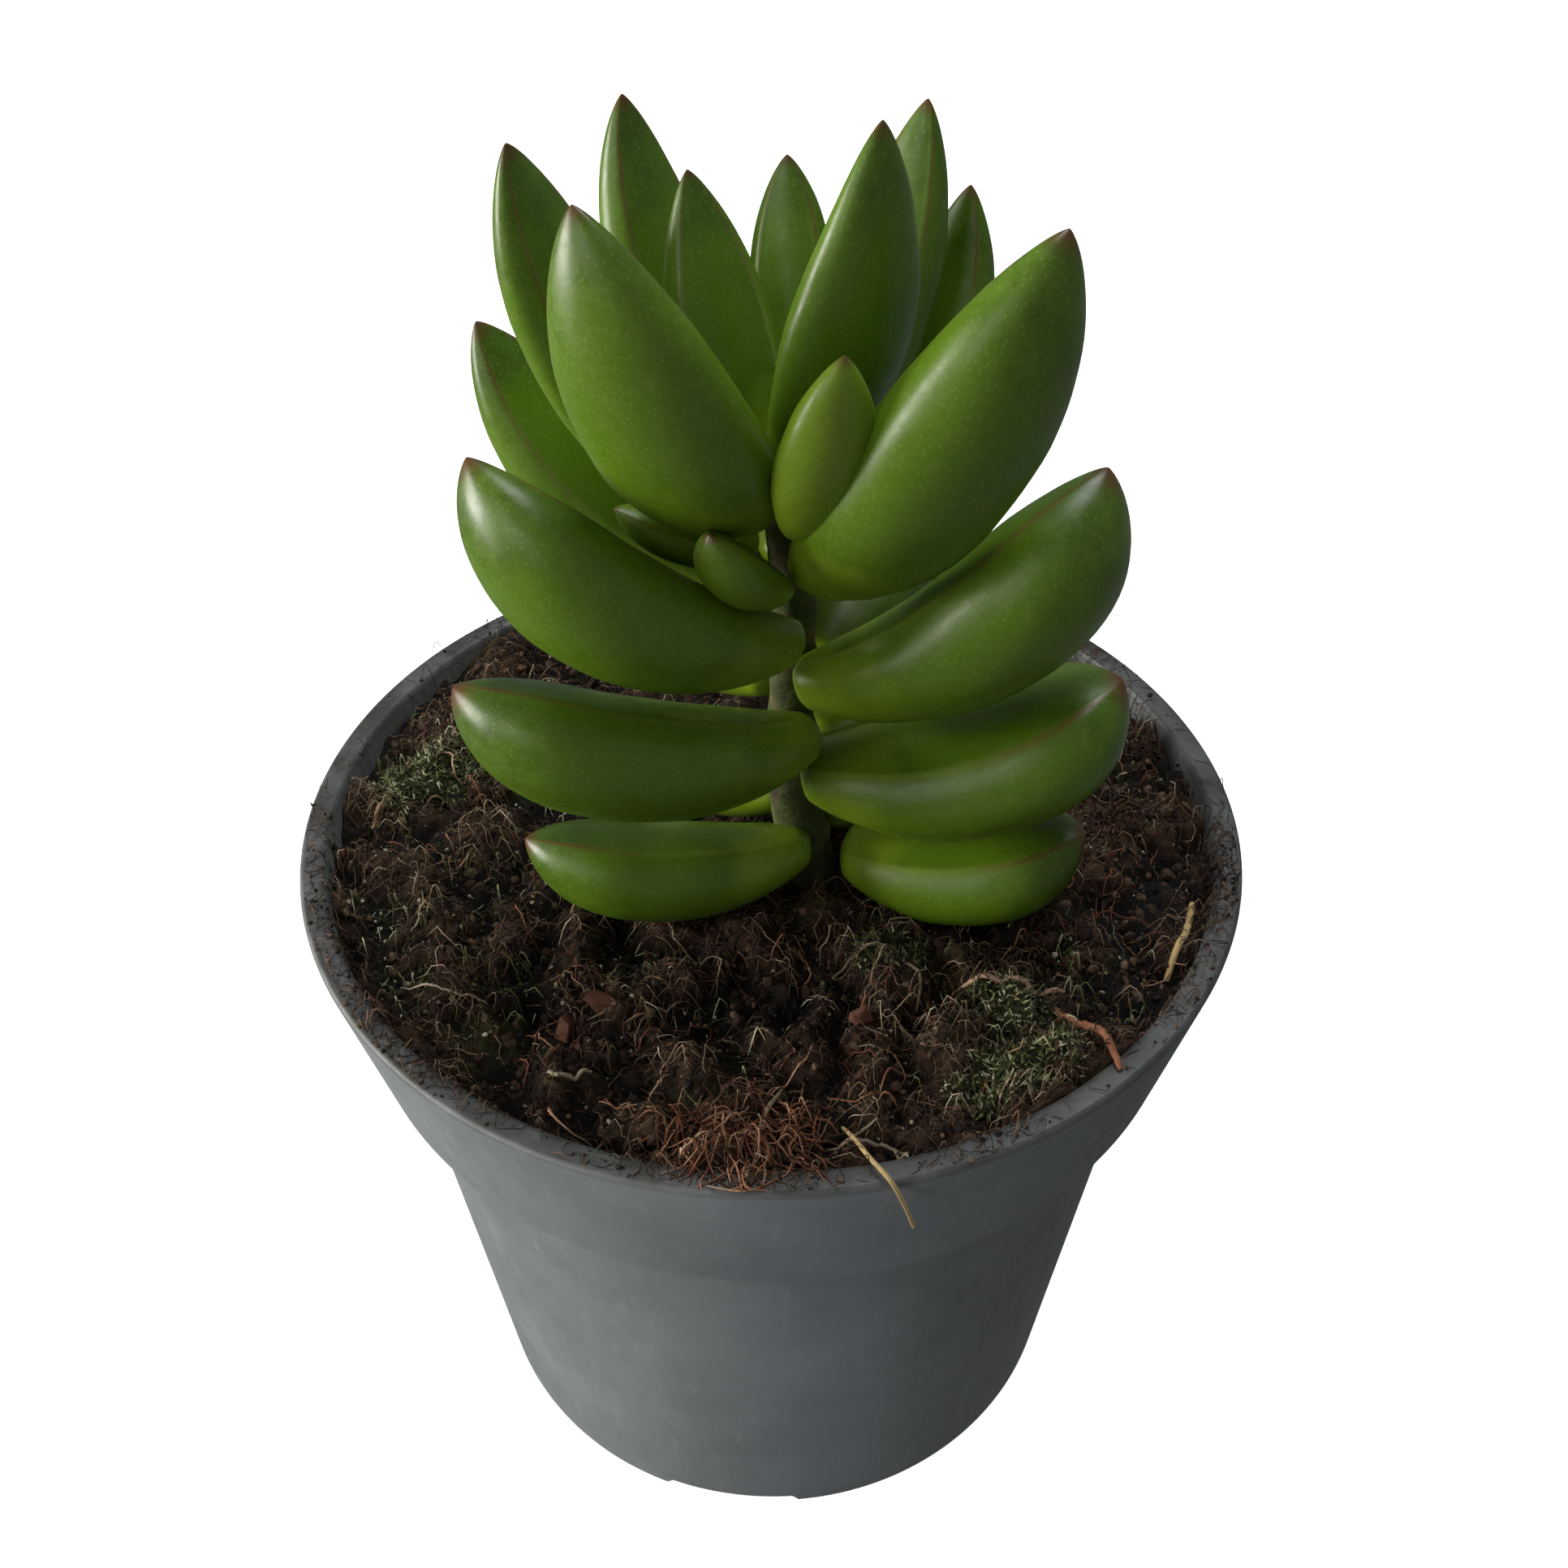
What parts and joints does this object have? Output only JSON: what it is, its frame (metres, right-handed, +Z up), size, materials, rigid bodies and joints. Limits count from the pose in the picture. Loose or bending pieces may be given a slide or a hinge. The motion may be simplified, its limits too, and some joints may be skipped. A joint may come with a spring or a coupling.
{
  "type": "potted crassula",
  "caption": "Small succulent with thick pointed leaves in pairs and a rosette at the top, in a round tapered nursery pot of peat.",
  "frame": {"origin": "centre of the pot's base, on the ground", "axes": "+Z up, along the pot's axis and the plant; -Y is the front, where the stem shows between the leaves; +X is to the right seen from the front"},
  "size_m": [0.105, 0.105, 0.1662],
  "materials": {
    "pot": "matte grey polypropylene with fine scuffs",
    "peat": "moist dark peat full of brown and reddish fibres",
    "bark": "weathered chip of bark, matte",
    "moss": "low yellow-green moss, matte",
    "straw": "dry pale straw",
    "stem": "brown, slightly woody stem",
    "leaf": "smooth waxy green skin with a soft sheen, reddish at the tip and along the margins"
  },
  "bodies": {
    "root": {"pot": "pot", "peat": "peat", "bark_chip_left": "bark", "bark_chip_middle": "bark", "bark_chip_right": "bark", "moss_left": "moss", "moss_middle": "moss", "moss_front": "moss", "moss_front_right": "moss", "straw_front": "straw", "straw_right": "straw", "stem": "stem", "leaf_low_left": "leaf", "leaf_low_right": "leaf", "leaf_second_left": "leaf", "leaf_second_right": "leaf", "leaf_third_left": "leaf", "leaf_third_right": "leaf", "leaf_fourth_left": "leaf", "leaf_fourth_right": "leaf", "leaf_side_left": "leaf", "leaf_tall_left": "leaf", "leaf_tall_back_left": "leaf", "leaf_tall_right": "leaf", "leaf_side_right": "leaf", "leaf_inner_left": "leaf", "leaf_inner_right": "leaf", "leaf_inner_back": "leaf", "leaf_young_front": "leaf", "leaf_young_right": "leaf", "leaf_bud_front": "leaf", "leaf_bud_left": "leaf", "leaf_low_back": "leaf", "leaf_low_back_right": "leaf", "leaf_second_back": "leaf", "leaf_second_back_right": "leaf", "leaf_third_back_left": "leaf", "leaf_third_back_right": "leaf", "leaf_fourth_back": "leaf"}
  },
  "joints": []
}
